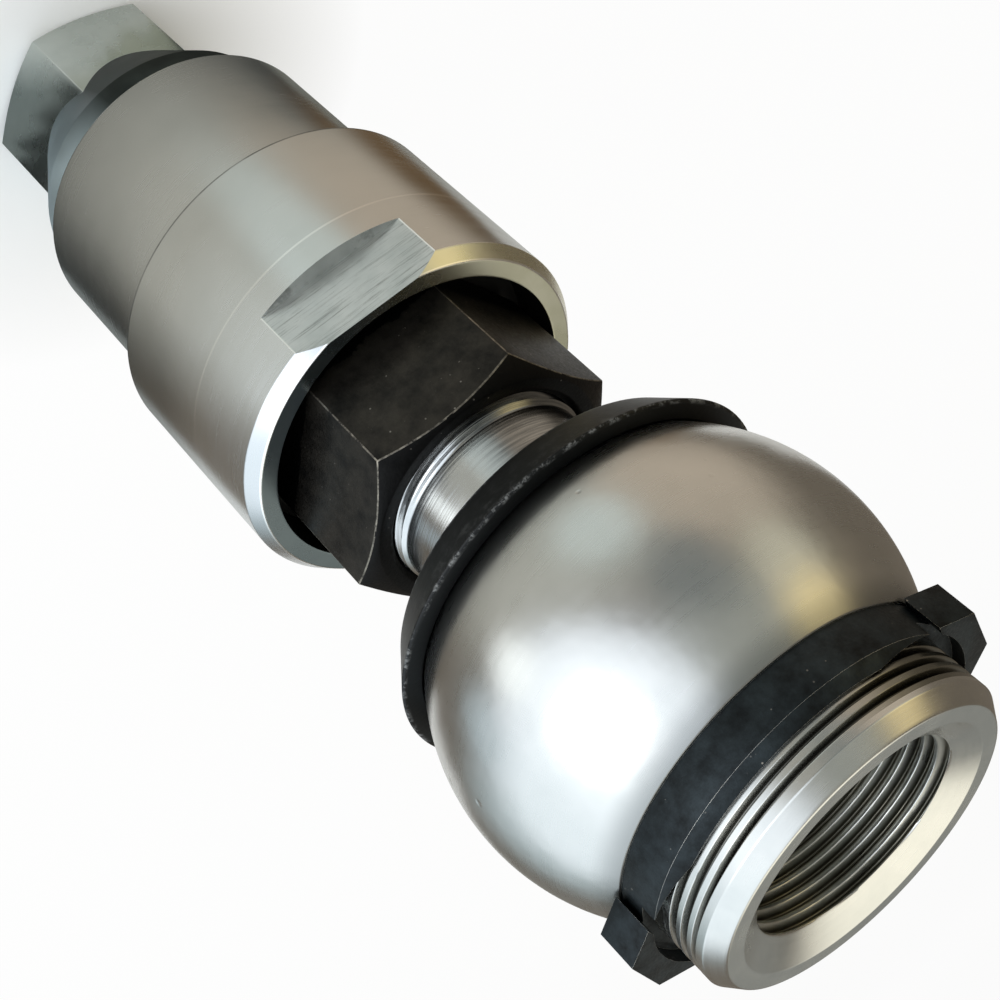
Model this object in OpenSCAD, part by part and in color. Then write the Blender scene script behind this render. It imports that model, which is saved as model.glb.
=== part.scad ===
// Swivelling ball joint: a round steel housing with a threaded neck turns on a ball stud.
// The stud is screwed into a stepped sleeve, held by a lock nut and closed by a hexagon plug.
// All sizes are in millimetres. The stud axis is Z and the part stands on its hexagon head.
// The housing pieces are drawn about the ball centre and then leant by the rest angle.

/* [Joint] */
// radius of the round housing
housing_r = 45; // [44:0.5:47]
// diameter of the inner ball
ball_d = 44; // [42:0.5:45]
// diameter of the stud's waist next to the ball
waist_d = 25; // [20:0.5:25]
// radial running clearance of the ball in its cups
seat_gap = 0.05; // [0.03:0.01:0.1]
// lean of the housing against the stud as it rests, in degrees
rest_lean = 1.9; // [0:0.1:5]
// direction in which the housing leans, in degrees round from X
lean_dir = 236; // [0:1:359]

/* [Threaded neck] */
// outside diameter of the neck's thread
neck_d = 66.5; // [64:0.5:67]
// distance from the ball centre to the neck's end face
neck_end = 47.4; // [46:0.2:54]
// drilled diameter of the threaded bore in the neck
bore_d = 42.8; // [38:0.2:45]
// diameter of the countersunk mouth at the end face
mouth_d = 54.4; // [50:0.2:58]
// depth of the threaded bore
bore_depth = 17.9; // [10:0.1:17.9]

/* [Ring nut] */
// outside diameter of the ring nut
ring_nut_d = 71; // [69:0.5:71.5]
// distance over the two lugs
lug_span = 81.4; // [76:0.2:86]
// width of a lug at its tip
lug_w = 15; // [10:0.5:18]
// direction of the lugs, in degrees round from X
lug_dir = 12; // [0:1:90]

/* [Stud and lock nut] */
// diameter of the stud's thread
stud_d = 45; // [44:0.5:47]
// diameter of the polished shank beside the thread
shank_d = 43; // [41:0.5:43.5]
// distance from the lock nut to the round housing
shank_l = 10; // [6:0.5:16]
// length of the stud's thread inside the sleeve
stud_hold = 38; // [30:1:40]
// distance across the lock nut's flats
lock_af = 55; // [54:0.5:58]
// height of the lock nut
lock_h = 36; // [30:1:38]
// turn of the lock nut's corners from X, in degrees
lock_turn = 3.7; // [0:0.1:60]

/* [Sleeve] */
// diameter of the front part of the sleeve
sleeve_d = 80.5; // [79:0.5:86]
// diameter of the rear part of the sleeve
sleeve_rear_d = 70.5; // [66:0.5:76]
// length of the front part of the sleeve
sleeve_front_l = 49.75; // [45:0.25:55]
// length of the rear part of the sleeve
sleeve_rear_l = 43.5; // [40:0.5:50]
// diameter of the counterbore for the lock nut
counter_d = 68.6; // [68.2:0.2:70]
// depth of the counterbore
counter_depth = 12.25; // [8:0.25:16]
// length of the chamfer at the sleeve's rim
rim_chamfer = 2.9; // [1:0.1:4]
// distance across the two wrench flats
flats_af = 73.2; // [72.4:0.2:76]
// length of the wrench flats
flats_l = 15; // [10:0.5:20]

/* [Plug] */
// distance across the plug's hexagon
plug_af = 46; // [41:0.5:50]
// height at which the hexagon meets its cone
hex_l = 20; // [16:0.5:24]
// diameter of the plug's collar
collar_d = 63; // [58:0.5:66]
// height of the collar's own edge
collar_l = 9; // [6:0.5:12]
// length of the plug's threaded spigot inside the sleeve
spigot_l = 28; // [20:1:36]
// turn of the hexagon's corners from X, in degrees
plug_turn = 45.5; // [0:0.5:60]

/* [Seal] */
// gap between the rubber seal and the round housing
seal_gap = 0.3; // [0.2:0.05:0.6]
// thickness of the seal's skirt at its ridge
seal_t = 4.1; // [3:0.1:6]
// angle of the seal's ridge from the stud, seen from the ball centre
seal_angle = 59.1; // [56:0.1:62]
// angle of the seal's rear edge from the stud
seal_rear_angle = 47.4; // [44:0.1:50]

/* [Hidden] */
$fn = 96;
e = 0.01;
thread_gap = 0.05;
cone_l = 18;
sleeve_z0 = hex_l + cone_l + collar_l;
step_z = sleeve_z0 + sleeve_rear_l;
rim_z = step_z + sleeve_front_l;
nut_z0 = rim_z - counter_depth;
nut_z1 = nut_z0 + lock_h;
// the ball centre follows the lock nut and the housing, so the clear shank keeps its length
ball_z = nut_z1 + shank_l + housing_r;
ball_r = ball_d / 2;
seat_r = ball_r + seat_gap;
waist_r = waist_d / 2;
shank_r = shank_d / 2;
thread_r = stud_d / 2;
// the cavity that holds the two cups, the spring and the retaining ring
cavity_r = ball_r + 4;
cavity_top = ball_r + 2.5;
rear_face = housing_r - 13;
cup_r = cavity_r - thread_gap;
cup_split = 0.5;
cup_end = ball_r - 8.5;
spring_h = 1;
// the spring's hole is a little wider than the mouth of the rear cup's seat
spring_hole_r = sqrt(seat_r * seat_r - cup_end * cup_end) + 1.1;
ring_z = cup_end + spring_h + 0.1;
shoulder_z = 27.2;
ring_top = 35.3;
ring_rim = 37.6;
hex_corner_r = plug_af / 2 / cos(30);
lock_corner_r = lock_af / 2 / cos(30);
// the stud reaches from the ball down into the sleeve and stops above the plug
stud_end = nut_z0 - stud_hold;
plug_top = sleeve_z0 + spigot_l;
// the shank ends below the housing's rear face, where the stud narrows to its waist
shank_end = ball_z - rear_face - 8.2;
waist_end = shank_end + 2.7;
// depth of the neck's thread, as the groove beside the ring nut shows it
thread_depth = 1.8;
groove_w = 1.2;

steel = [0.72, 0.72, 0.70];
black = [0.10, 0.10, 0.11];

// the housing's frame: ball centre, leant towards lean_dir
module in_housing() {
  translate([0, 0, ball_z])
    rotate([0, 0, lean_dir])
      rotate([0, rest_lean, 0])
        rotate([0, 0, -lean_dir])
          children();
}

// a six-sided prism whose corners are turned down to a cone at both ends
module chamfered_hex(af, z0, z1, turn, low_r, high_r, slope) {
  corner = af / 2 / cos(30);
  intersection() {
    translate([0, 0, z0])
      rotate([0, 0, turn])
        cylinder(r = corner, h = z1 - z0, $fn = 6);
    rotate_extrude()
      polygon([[0, z0], [low_r, z0], [corner + 0.5, z0 + (corner + 0.5 - low_r) * slope],
               [corner + 0.5, z1 - (corner + 0.5 - high_r) * slope], [high_r, z1], [0, z1]]);
  }
}

// ball, waist, polished shank and threaded end, turned from one bar
module ball_stud() {
  color(steel)
  union() {
    translate([0, 0, ball_z])
      difference() {
        sphere(r = ball_r);
        translate([0, 0, ball_r - 1.2]) cylinder(r = ball_r, h = 5);
      }
    rotate_extrude()
      polygon([[0, stud_end], [thread_r - thread_gap - 2, stud_end],
               [thread_r - thread_gap, stud_end + 2], [thread_r - thread_gap, nut_z1 + 2.5],
               [shank_r, nut_z1 + 4], [shank_r, shank_end], [waist_r, waist_end],
               [waist_r, ball_z - ball_r / 4], [0, ball_z - ball_r / 4]]);
  }
}

// hexagon lock nut with both thread mouths countersunk
module lock_nut() {
  color(black)
  difference() {
    chamfered_hex(lock_af, nut_z0, nut_z1, lock_turn, lock_af / 2 - 1, lock_af / 2 - 1, tan(30));
    translate([0, 0, nut_z0 - 1]) cylinder(r = thread_r, h = lock_h + 2);
    translate([0, 0, nut_z1 - 1.4]) cylinder(r1 = thread_r, r2 = thread_r + 1.4 + e, h = 1.4 + e);
    translate([0, 0, nut_z0 - e]) cylinder(r1 = thread_r + 1.4 + e, r2 = thread_r, h = 1.4 + e);
  }
}

// stepped sleeve with a counterbore, a through thread and two milled wrench flats
module sleeve_body() {
  r1 = sleeve_rear_d / 2;
  r2 = sleeve_d / 2;
  color(steel)
  difference() {
    rotate_extrude()
      polygon([[thread_r + 1.5, sleeve_z0], [r1 - 0.8, sleeve_z0], [r1, sleeve_z0 + 0.8],
               [r1, step_z], [r2 - 0.5, step_z], [r2, step_z + 0.5],
               [r2, rim_z - rim_chamfer], [r2 - rim_chamfer * 0.74, rim_z],
               [counter_d / 2, rim_z], [counter_d / 2, nut_z0],
               [thread_r, nut_z0], [thread_r, sleeve_z0 + 1.5]]);
    for (s = [90, 270])
      rotate([0, 0, s])
        translate([flats_af / 2, -sleeve_d / 2, rim_z - flats_l])
          cube([sleeve_d, sleeve_d, flats_l + 1]);
  }
}

// hexagon plug: head, conical flange, collar and threaded spigot
module hex_plug() {
  color(steel)
  union() {
    chamfered_hex(plug_af, 0, hex_l + cone_l - 1, plug_turn, plug_af / 2 - 1.1, hex_corner_r + 0.4,
                  tan(30));
    rotate_extrude()
      polygon([[0, hex_l], [plug_af / 2 - 0.3, hex_l], [collar_d / 2, hex_l + cone_l],
               [collar_d / 2, sleeve_z0], [thread_r - thread_gap, sleeve_z0],
               [thread_r - thread_gap, plug_top - 1.5], [thread_r - 1.6, plug_top], [0, plug_top]]);
  }
}

// rubber wiper seal: a snug lip on the shank and a dished skirt over the round housing
module dust_seal() {
  lip_r = shank_r + thread_gap;
  lip_z = sqrt(housing_r * housing_r - lip_r * lip_r);
  skirt_r = housing_r + seal_t;
  ridge_r = skirt_r * sin(seal_angle);
  ridge_z = skirt_r * cos(seal_angle);
  rear_r = (skirt_r + 0.6) * sin(seal_rear_angle);
  rear_z = (skirt_r + 0.6) * cos(seal_rear_angle);
  mid_angle = seal_rear_angle - 9;
  mid_r = skirt_r - 0.8;
  color(black)
  translate([0, 0, ball_z])
    difference() {
      rotate_extrude()
        polygon([[lip_r, -lip_z - 3.5], [lip_r + 1, -lip_z - 3.1],
                 [mid_r * sin(mid_angle), -mid_r * cos(mid_angle)], [rear_r, -rear_z],
                 [ridge_r, -ridge_z], [ridge_r - 0.5, -ridge_z + 0.5],
                 [lip_r + 5, -ridge_z + 0.5], [lip_r, -lip_z + seal_t]]);
      sphere(r = housing_r + seal_gap);
    }
}

// bearing cup behind the ball's crown, with a grease hole
module front_bearing_cup() {
  color([0.75, 0.55, 0.28])
  in_housing()
    difference() {
      translate([0, 0, cup_split]) cylinder(r = cup_r, h = cavity_top - cup_split - 0.05);
      sphere(r = seat_r);
      cylinder(r = 3, h = cavity_top + 1);
    }
}

// bearing cup round the ball's underside, open for the waist
module rear_bearing_cup() {
  color([0.75, 0.55, 0.28])
  in_housing()
    difference() {
      translate([0, 0, -cup_end]) cylinder(r = cup_r, h = cup_end - cup_split);
      sphere(r = seat_r);
    }
}

// flat spring washer that keeps the cups pressed on the ball
module preload_spring() {
  color(steel)
  in_housing()
    translate([0, 0, -cup_end - spring_h - 0.05])
      difference() {
        cylinder(r = cup_r, h = spring_h);
        translate([0, 0, -1]) cylinder(r = spring_hole_r, h = spring_h + 2);
      }
}

// screwed ring that closes the cavity; its mouth is coned so that the waist can lean
module retaining_ring() {
  color(steel)
  in_housing()
    difference() {
      translate([0, 0, -rear_face]) cylinder(r = cup_r, h = rear_face - ring_z);
      translate([0, 0, -rear_face - e])
        cylinder(r1 = waist_r + 9.9, r2 = waist_r + 5.4, h = rear_face - ring_z + 2 * e);
      for (a = [0, 90])
        rotate([0, 0, a])
          translate([-cavity_r, -2.5, -rear_face - 1])
            cube([2 * cavity_r, 5, 4]);
    }
}

// round housing with the seat cavity behind and the threaded neck in front
module ball_housing() {
  nr = neck_d / 2;
  br = bore_d / 2;
  color(steel)
  in_housing()
    difference() {
      union() {
        difference() {
          sphere(r = housing_r);
          translate([0, 0, shoulder_z]) cylinder(r = housing_r, h = housing_r);
          translate([0, 0, -rear_face - housing_r]) cylinder(r = housing_r, h = housing_r);
        }
        rotate_extrude()
          polygon([[0, shoulder_z - 7], [nr - thread_depth, shoulder_z - 7],
                   [nr - thread_depth, shoulder_z + 2.5], [nr, shoulder_z + 2.5 + thread_depth],
                   [nr, ring_rim + 0.1], [nr - groove_w, ring_rim + 0.1 + groove_w / 2],
                   [nr, ring_rim + 0.1 + groove_w], [nr, neck_end - 3.2], [nr - 2.5, neck_end],
                   [0, neck_end]]);
      }
      translate([0, 0, -rear_face - 1]) cylinder(r = cavity_r, h = cavity_top + rear_face + 1);
      translate([0, 0, neck_end - bore_depth]) cylinder(r = br, h = bore_depth + 1);
      translate([0, 0, neck_end - (mouth_d / 2 - br) * tan(30)])
        cylinder(r1 = br, r2 = mouth_d / 2 + e / tan(30), h = (mouth_d / 2 - br) * tan(30) + e);
    }
}

// ring nut with two driving lugs and a relieved mouth at each lug
module ring_nut() {
  rr = ring_nut_d / 2;
  inner = neck_d / 2 + thread_gap;
  color(black)
  in_housing()
    rotate([0, 0, lug_dir])
      difference() {
        union() {
          rotate_extrude()
            polygon([[inner - 1, shoulder_z], [rr - 0.4, shoulder_z], [rr, shoulder_z + 0.4],
                     [rr, ring_top], [inner + 0.6, ring_rim], [inner - 1, ring_rim]]);
          for (s = [0, 180])
            rotate([0, 0, s])
              translate([0, 0, shoulder_z])
                linear_extrude(height = ring_top - shoulder_z)
                  polygon([[rr - 3, -lug_w / 2 - 6.4], [rr - 0.9, -lug_w / 2 - 5.2],
                           [lug_span / 2 - 1, -lug_w / 2], [lug_span / 2, -lug_w / 2 + 1],
                           [lug_span / 2, lug_w / 2 - 1], [lug_span / 2 - 1, lug_w / 2],
                           [rr - 0.9, lug_w / 2 + 5.2], [rr - 3, lug_w / 2 + 6.4]]);
        }
        translate([0, 0, shoulder_z - 1]) cylinder(r = inner, h = ring_rim - shoulder_z + 2);
        for (s = [-1, 1])
          translate([s * 5.2, 0, ring_top - 3]) cylinder(r = rr - 4.6, h = 10);
      }
}

ball_stud();
lock_nut();
sleeve_body();
hex_plug();
dust_seal();
front_bearing_cup();
rear_bearing_cup();
preload_spring();
retaining_ring();
ball_housing();
ring_nut();
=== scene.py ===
"""Ball joint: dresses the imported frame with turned, milled and threaded pieces and their metals."""
import math
import bpy
import numpy as np
from mathutils import Matrix, Vector


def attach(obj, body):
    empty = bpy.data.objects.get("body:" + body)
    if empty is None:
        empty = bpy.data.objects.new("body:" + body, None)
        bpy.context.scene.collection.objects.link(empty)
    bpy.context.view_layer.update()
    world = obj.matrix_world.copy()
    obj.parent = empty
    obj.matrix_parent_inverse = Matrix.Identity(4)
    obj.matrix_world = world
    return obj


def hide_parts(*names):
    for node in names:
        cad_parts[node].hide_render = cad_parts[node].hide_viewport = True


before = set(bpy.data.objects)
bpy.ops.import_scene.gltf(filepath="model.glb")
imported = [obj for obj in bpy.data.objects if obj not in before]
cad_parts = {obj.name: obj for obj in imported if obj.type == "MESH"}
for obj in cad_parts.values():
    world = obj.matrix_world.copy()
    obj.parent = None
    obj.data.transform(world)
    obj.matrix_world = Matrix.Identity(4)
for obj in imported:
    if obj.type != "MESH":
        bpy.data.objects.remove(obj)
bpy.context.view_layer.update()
MM = 0.001

# Sizes in millimetres, as in the part's source, and the pitches of the threads that are cut only here
BALL_Z, BALL_R = 219.0, 22.0
LEAN, LEAN_DIR = math.radians(1.9), math.radians(236)
HOUSING_R, NECK_R, NECK_END = 45.0, 33.25, 47.4
SHOULDER_Z, UNDERSIDE_Z, ROOF_Z = 27.2, -32.0, 24.5
BORE_R, MOUTH_R, BORE_FLOOR = 21.4, 27.2, 29.5
PITCH, OUTER_PITCH, OUTER_Z0, OUTER_Z1 = 3.0, 2.6, 35.2, 42.9
RING_R, RING_BORE_R, RING_TOP, RING_RIM = 35.5, 33.3, 35.3, 37.6
LUG_R, LUG_W, LUG_DIR = 40.7, 15.0, 12.0
STUD_R, SHANK_R, WAIST_R = 22.45, 21.5, 12.5
NUT_Z0, NUT_Z1, NUT_AF, NUT_TURN = 128.0, 164.0, 55.0, 3.7
SLEEVE_Z0, STEP_Z, RIM_Z = 47.0, 90.5, 140.25
SLEEVE_R, SLEEVE_REAR_R, COUNTER_R, THREAD_R = 40.25, 35.25, 34.3, 22.5
CHAMFER_W, CHAMFER_H, FLATS_AF, FLATS_L = 2.15, 2.9, 73.2, 15.0
PLUG_AF, HEX_L, CONE_L, COLLAR_R, PLUG_TURN = 46.0, 20.0, 18.0, 31.5, 45.5
SEAL_GAP, SEAL_LIP_GAP, SEAL_EDGE_Z, SEAL_EDGE_R = 0.3, 0.05, -25.21, 42.13
# Heights of marks on the finishes: the scribed ring, and the torn old sealant on the lock nut
SCRIBE_Z, TORN_Z = 118.6, 137.2
TAN30, COS30 = math.tan(math.radians(30)), math.cos(math.radians(30))

HOUSING_FRAME = (Matrix.Translation((0, 0, BALL_Z * MM)) @ Matrix.Rotation(LEAN_DIR, 4, "Z")
                 @ Matrix.Rotation(LEAN, 4, "Y") @ Matrix.Rotation(-LEAN_DIR, 4, "Z"))
BALL_FRAME = Matrix.Translation((0, 0, BALL_Z * MM))
STAND_FRAME = Matrix.Identity(4)

# The camera stands a little above the threaded neck and looks down along the part, rolled as in the photo
RIGHT, DOWN, AHEAD = (Vector((-0.77253, 0.20517, 0.60093)), Vector((0.60356, 0.53135, 0.59447)),
                      Vector((-0.19733, 0.82193, -0.53431)))
camera_data = bpy.data.cameras.new("photo_camera")
camera = bpy.data.objects.new("photo_camera", camera_data)
bpy.context.scene.collection.objects.link(camera)
camera_data.lens, camera_data.sensor_width = 62.03, 36.0
camera_data.clip_start, camera_data.clip_end = 0.01, 20
camera.matrix_world = Matrix.Translation((0.06675, -0.27719, 0.34720)) @ Matrix(
    [[RIGHT[i], -DOWN[i], -AHEAD[i]] for i in range(3)]).to_4x4()
bpy.context.scene.camera = camera
bpy.context.scene.view_settings.view_transform = "Standard"


# Tools that make and cut the pieces
def broken(points, radius=0.35):
    """The profile with rounded corners; a point's third number is its own radius, and 0 keeps it sharp."""
    out = [points[0][:2]]
    for before, p, after in zip(points, points[1:], points[2:]):
        a, b, c = Vector(before[:2]), Vector(p[:2]), Vector(after[:2])
        u, v = a - b, c - b
        angle = math.degrees(u.angle(v)) if min(u.length, v.length) > 1e-6 else 180
        own = p[2] if len(p) > 2 else radius
        if angle > 165 or own == 0:
            out.append(p[:2])
            continue
        size = min(own, u.length * 0.4, v.length * 0.4)
        room_before, room_after = u.length > size * 4, v.length > size * 4
        u.normalize()
        v.normalize()
        if room_before:
            out.append((b + u * (size * 1.8))[:])
        for t in (0.0, 0.33, 0.67, 1.0):
            q = (b + u * size) * (1 - t) ** 2 + b * 2 * t * (1 - t) + (b + v * size) * t ** 2
            out.append(q[:])
        if room_after:
            out.append((b + v * (size * 1.8))[:])
    return out + [points[-1][:2]]


def along(a, b, step):
    """Sharp points from a to b, both ends in, no further apart than step."""
    n = max(1, int(math.ceil(math.hypot(b[0] - a[0], b[1] - a[1]) / step)))
    return [(a[0] + (b[0] - a[0]) * i / n, a[1] + (b[1] - a[1]) * i / n, 0) for i in range(n + 1)]


def only(obj):
    """Makes obj the one selected and active object, in object mode."""
    if bpy.context.object and bpy.context.object.mode != "OBJECT":
        bpy.ops.object.mode_set(mode="OBJECT")
    bpy.ops.object.select_all(action="DESELECT")
    obj.select_set(True)
    bpy.context.view_layer.objects.active = obj


def added(name, add, scale=(1, 1, 1), **settings):
    """A new mesh from one of Blender's add operators, with its place, turn and scale applied."""
    add(**settings)
    obj = bpy.context.object
    obj.name, obj.scale = name, scale
    only(obj)
    bpy.ops.object.transform_apply(location=True, rotation=True, scale=True)
    return obj


def turned(name, profile, segments=144):
    """A profile of (radius, height) turned once round Z; it is closed at the axis or in itself."""
    obj = added(name, bpy.ops.mesh.primitive_plane_add, size=0.001,
                location=(profile[0][0] * MM, 0, profile[0][1] * MM))
    bpy.ops.object.mode_set(mode="EDIT")
    bpy.ops.mesh.select_all(action="SELECT")
    bpy.ops.mesh.merge(type="CENTER")
    for a, b in zip(profile, profile[1:]):
        bpy.ops.mesh.extrude_region_move(
            TRANSFORM_OT_translate={"value": ((b[0] - a[0]) * MM, 0, (b[1] - a[1]) * MM)})
    bpy.ops.mesh.select_all(action="SELECT")
    bpy.ops.mesh.spin(steps=segments, angle=2 * math.pi, center=(0, 0, 0), axis=(0, 0, 1))
    bpy.ops.mesh.select_all(action="SELECT")
    bpy.ops.mesh.remove_doubles(threshold=2e-6)
    bpy.ops.mesh.normals_make_consistent(inside=False)
    bpy.ops.object.mode_set(mode="OBJECT")
    return obj


def moved(obj, change):
    """Moves vertices in or out: change gives new radii from arrays of radius, angle and height, in mm."""
    co = np.empty(len(obj.data.vertices) * 3)
    obj.data.vertices.foreach_get("co", co)
    co = co.reshape(-1, 3) / MM
    r, a = np.hypot(co[:, 0], co[:, 1]), np.arctan2(co[:, 1], co[:, 0])
    new = change(r, a, co[:, 2])
    keep = r > 0.5
    co[keep, 0] *= (new / np.maximum(r, 1e-6))[keep]
    co[keep, 1] *= (new / np.maximum(r, 1e-6))[keep]
    obj.data.vertices.foreach_set("co", (co * MM).ravel())
    obj.data.update()


def thread_wave(a, z, phase):
    """0 on a crest and 1 in a valley of a right-hand thread; crest and valley are a little flat."""
    t = (z - phase) / PITCH - a / (2 * math.pi)
    v = np.abs((t + 0.5) % 1.0 - 0.5) * 2
    flat = 0.12
    return np.clip((v - flat) / (1 - 2 * flat), 0, 1)


def cut(obj, tool, how):
    """Boolean of obj with tool, applied; the tool is used up."""
    only(obj)
    mod = obj.modifiers.new("cut", "BOOLEAN")
    mod.operation, mod.object, mod.solver = how, tool, "EXACT"
    bpy.ops.object.modifier_apply(modifier=mod.name)
    bpy.data.objects.remove(tool)


def edges_broken(obj, width, angle=28, worn=False):
    """Bevels each edge that turns by more than angle; worn edges take the second finish."""
    only(obj)
    mod = obj.modifiers.new("edge", "BEVEL")
    mod.width, mod.segments, mod.limit_method, mod.angle_limit = width * MM, 2, "ANGLE", math.radians(angle)
    if worn:
        mod.material = 1
    bpy.ops.object.modifier_apply(modifier=mod.name)


def hexagon(name, af, z0, z1, turn):
    """A hexagon bar from z0 to z1, af wide across its flats, with a corner at turn degrees."""
    return added(name, bpy.ops.mesh.primitive_cylinder_add, vertices=6, radius=af / 2 / COS30 * MM,
                 depth=(z1 - z0) * MM, location=(0, 0, (z0 + z1) / 2 * MM),
                 rotation=(0, 0, math.radians(turn - 30)))


def placed(obj, where, body, node, finishes, smooth=30):
    """Puts a mesh in the part's frame with its finishes, to ride on its body and stand for its node."""
    obj.data.transform(where)
    obj.data.update()
    slots = [f.material_index for f in obj.data.polygons]
    obj.data.materials.clear()
    for m in finishes:
        obj.data.materials.append(m)
    only(obj)
    bpy.ops.object.shade_smooth_by_angle(angle=math.radians(smooth))
    obj.data.polygons.foreach_set("material_index", slots)
    obj.data.update()
    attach(obj, body)
    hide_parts(node)


# Finishes
def tint(code):
    """An sRGB hex value as linear colour."""
    c = [int(code[i:i + 2], 16) / 255 for i in (0, 2, 4)]
    return tuple(x / 12.92 if x <= 0.04045 else ((x + 0.055) / 1.055) ** 2.4 for x in c) + (1.0,)


# Sockets by number: a Map Range takes its value at 0 and maps 1 and 2 to 3 and 4, and a colour Mix has its
# share at 0 and its colours at 6 and 7
def wire(node, sockets):
    """Sets sockets; a value is a number, a colour, an output, or a node for its first live output."""
    for k, v in sockets.items():
        if isinstance(v, bpy.types.Node):
            v = next(o for o in v.outputs if o.enabled)
        if isinstance(v, bpy.types.NodeSocket):
            node.id_data.links.new(v, node.inputs[k])
        else:
            node.inputs[k].default_value = v


def put(tree, kind, sockets=None, stops=(), **settings):
    """Adds one node with its settings, its sockets and, for a colour ramp, its two stops."""
    n = tree.nodes.new(kind)
    for k, v in settings.items():
        setattr(n, k, v)
    wire(n, sockets or {})
    for i, (place, colour) in enumerate(stops):
        n.color_ramp.elements[i].position, n.color_ramp.elements[i].color = place, colour
    return n


def finish(name, **shader):
    """A new material with its values on the shader's own sockets, its node tree and that shader."""
    mat = bpy.data.materials.new(name)
    mat.use_nodes = True
    bsdf = mat.node_tree.nodes["Principled BSDF"]
    wire(bsdf, {k.replace("_", " "): v for k, v in shader.items()})
    return mat, mat.node_tree, bsdf


def spot(tree, housing=False):
    """Object coordinates in metres; for the housing's pieces turned into its own leaning frame."""
    c = put(tree, "ShaderNodeTexCoord").outputs["Object"]
    if housing:
        c = put(tree, "ShaderNodeMapping", {0: c, "Location": (0, 0, BALL_Z * MM),
                                            "Rotation": tuple(HOUSING_FRAME.to_euler())},
                vector_type="TEXTURE")
    return c


def off_axis(tree, c):
    """How far a place is from the axis, in metres."""
    level = put(tree, "ShaderNodeVectorMath", {0: c, 1: (1, 1, 0)}, operation="MULTIPLY")
    return put(tree, "ShaderNodeVectorMath", {0: level}, operation="LENGTH")


def turned_steel(name, base, low, high, lines, housing=False, rings=False, mottle=90.0, bump=0.12):
    """Lathe-turned steel: fine lines round the axis, a slow mottle of gloss and faint tool marks."""
    mat, t, b = finish(name, Metallic=1.0)
    c = spot(t, housing)
    slow = put(t, "ShaderNodeTexNoise", {"Vector": c, "Scale": mottle, "Detail": 3.0, "Roughness": 0.6})
    if rings:
        sep = put(t, "ShaderNodeSeparateXYZ", {0: c})
        out = put(t, "ShaderNodeMath", {0: off_axis(t, c), 1: lines}, operation="MULTIPLY")
        up = put(t, "ShaderNodeMath", {0: sep.outputs[2], 1: lines}, operation="MULTIPLY")
        grain = put(t, "ShaderNodeCombineXYZ", {0: out, 2: up})
    else:
        grain = put(t, "ShaderNodeMapping", {0: c, "Scale": (25.0, 25.0, lines)})
    fine = put(t, "ShaderNodeTexNoise", {"Vector": grain, "Scale": 1.0, "Detail": 4.0, "Roughness": 0.7})
    both = put(t, "ShaderNodeMath", {0: slow, 1: fine}, operation="ADD")
    gloss = put(t, "ShaderNodeMapRange", {0: both, 1: 0.7, 2: 1.3, 3: low, 4: high})
    shade = put(t, "ShaderNodeValToRGB", {0: slow}, stops=((0.35, tint(base[0])), (0.65, tint(base[1]))))
    bumps = put(t, "ShaderNodeBump", {"Strength": bump, "Distance": 0.0001, "Height": fine})
    wire(b, {"Roughness": gloss, "Base Color": shade, "Normal": bumps})
    return mat, t, b, c, shade, bumps


def overlaid(tree, under, over, *shares):
    """The shade under, with the colour over laid on it by the product of the shares."""
    share = shares[0]
    for other in shares[1:]:
        share = put(tree, "ShaderNodeMath", {0: share, 1: other}, operation="MULTIPLY")
    return put(tree, "ShaderNodeMix", {0: share, 6: under, 7: over}, data_type="RGBA")


# Satin turned and plated steel of the sleeve: soft tan and grey reflections, lines of about 0.3 mm round it
satin, t, b, c, shade, _ = turned_steel("satin_turned_steel", ("c4c4c0", "cccbc7"), 0.21, 0.29, 900.0,
                                        mottle=40.0, bump=0.01)
# A faint ring scribed round the front part, brighter than the rest and fading in and out
sep = put(t, "ShaderNodeSeparateXYZ", {0: c})
off = put(t, "ShaderNodeMath", {0: sep.outputs[2], 1: SCRIBE_Z * MM}, operation="SUBTRACT")
off = put(t, "ShaderNodeMath", {0: off}, operation="ABSOLUTE")
scribe = put(t, "ShaderNodeMapRange", {0: off, 1: 0.00018, 2: 0.00032, 3: 1.0, 4: 0.0})
fade = put(t, "ShaderNodeTexNoise", {"Vector": c, "Scale": 28.0, "Detail": 1.0})
fade = put(t, "ShaderNodeMapRange", {0: fade, 1: 0.40, 2: 0.62, 3: 0.10, 4: 0.65})
shade = overlaid(t, shade, tint("efece6"), scribe, fade)
# Painted shade on the step's chamfer, a broken dark line under 1 mm wide
above = put(t, "ShaderNodeMath", {0: sep.outputs[2], 1: STEP_Z * MM}, operation="SUBTRACT")
near = put(t, "ShaderNodeMapRange", {0: above, 1: 0.0007, 2: 0.0010, 3: 1.0, 4: 0.0})
past = put(t, "ShaderNodeMath", {0: above, 1: -0.0001}, operation="GREATER_THAN")
broken_shade = put(t, "ShaderNodeTexNoise", {"Vector": c, "Scale": 160.0, "Detail": 3.0})
broken_shade = put(t, "ShaderNodeMapRange", {0: broken_shade, 1: 0.35, 2: 0.6, 3: 0.35, 4: 0.70})
shade = overlaid(t, shade, tint("2e2b27"), near, past, broken_shade)
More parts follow.
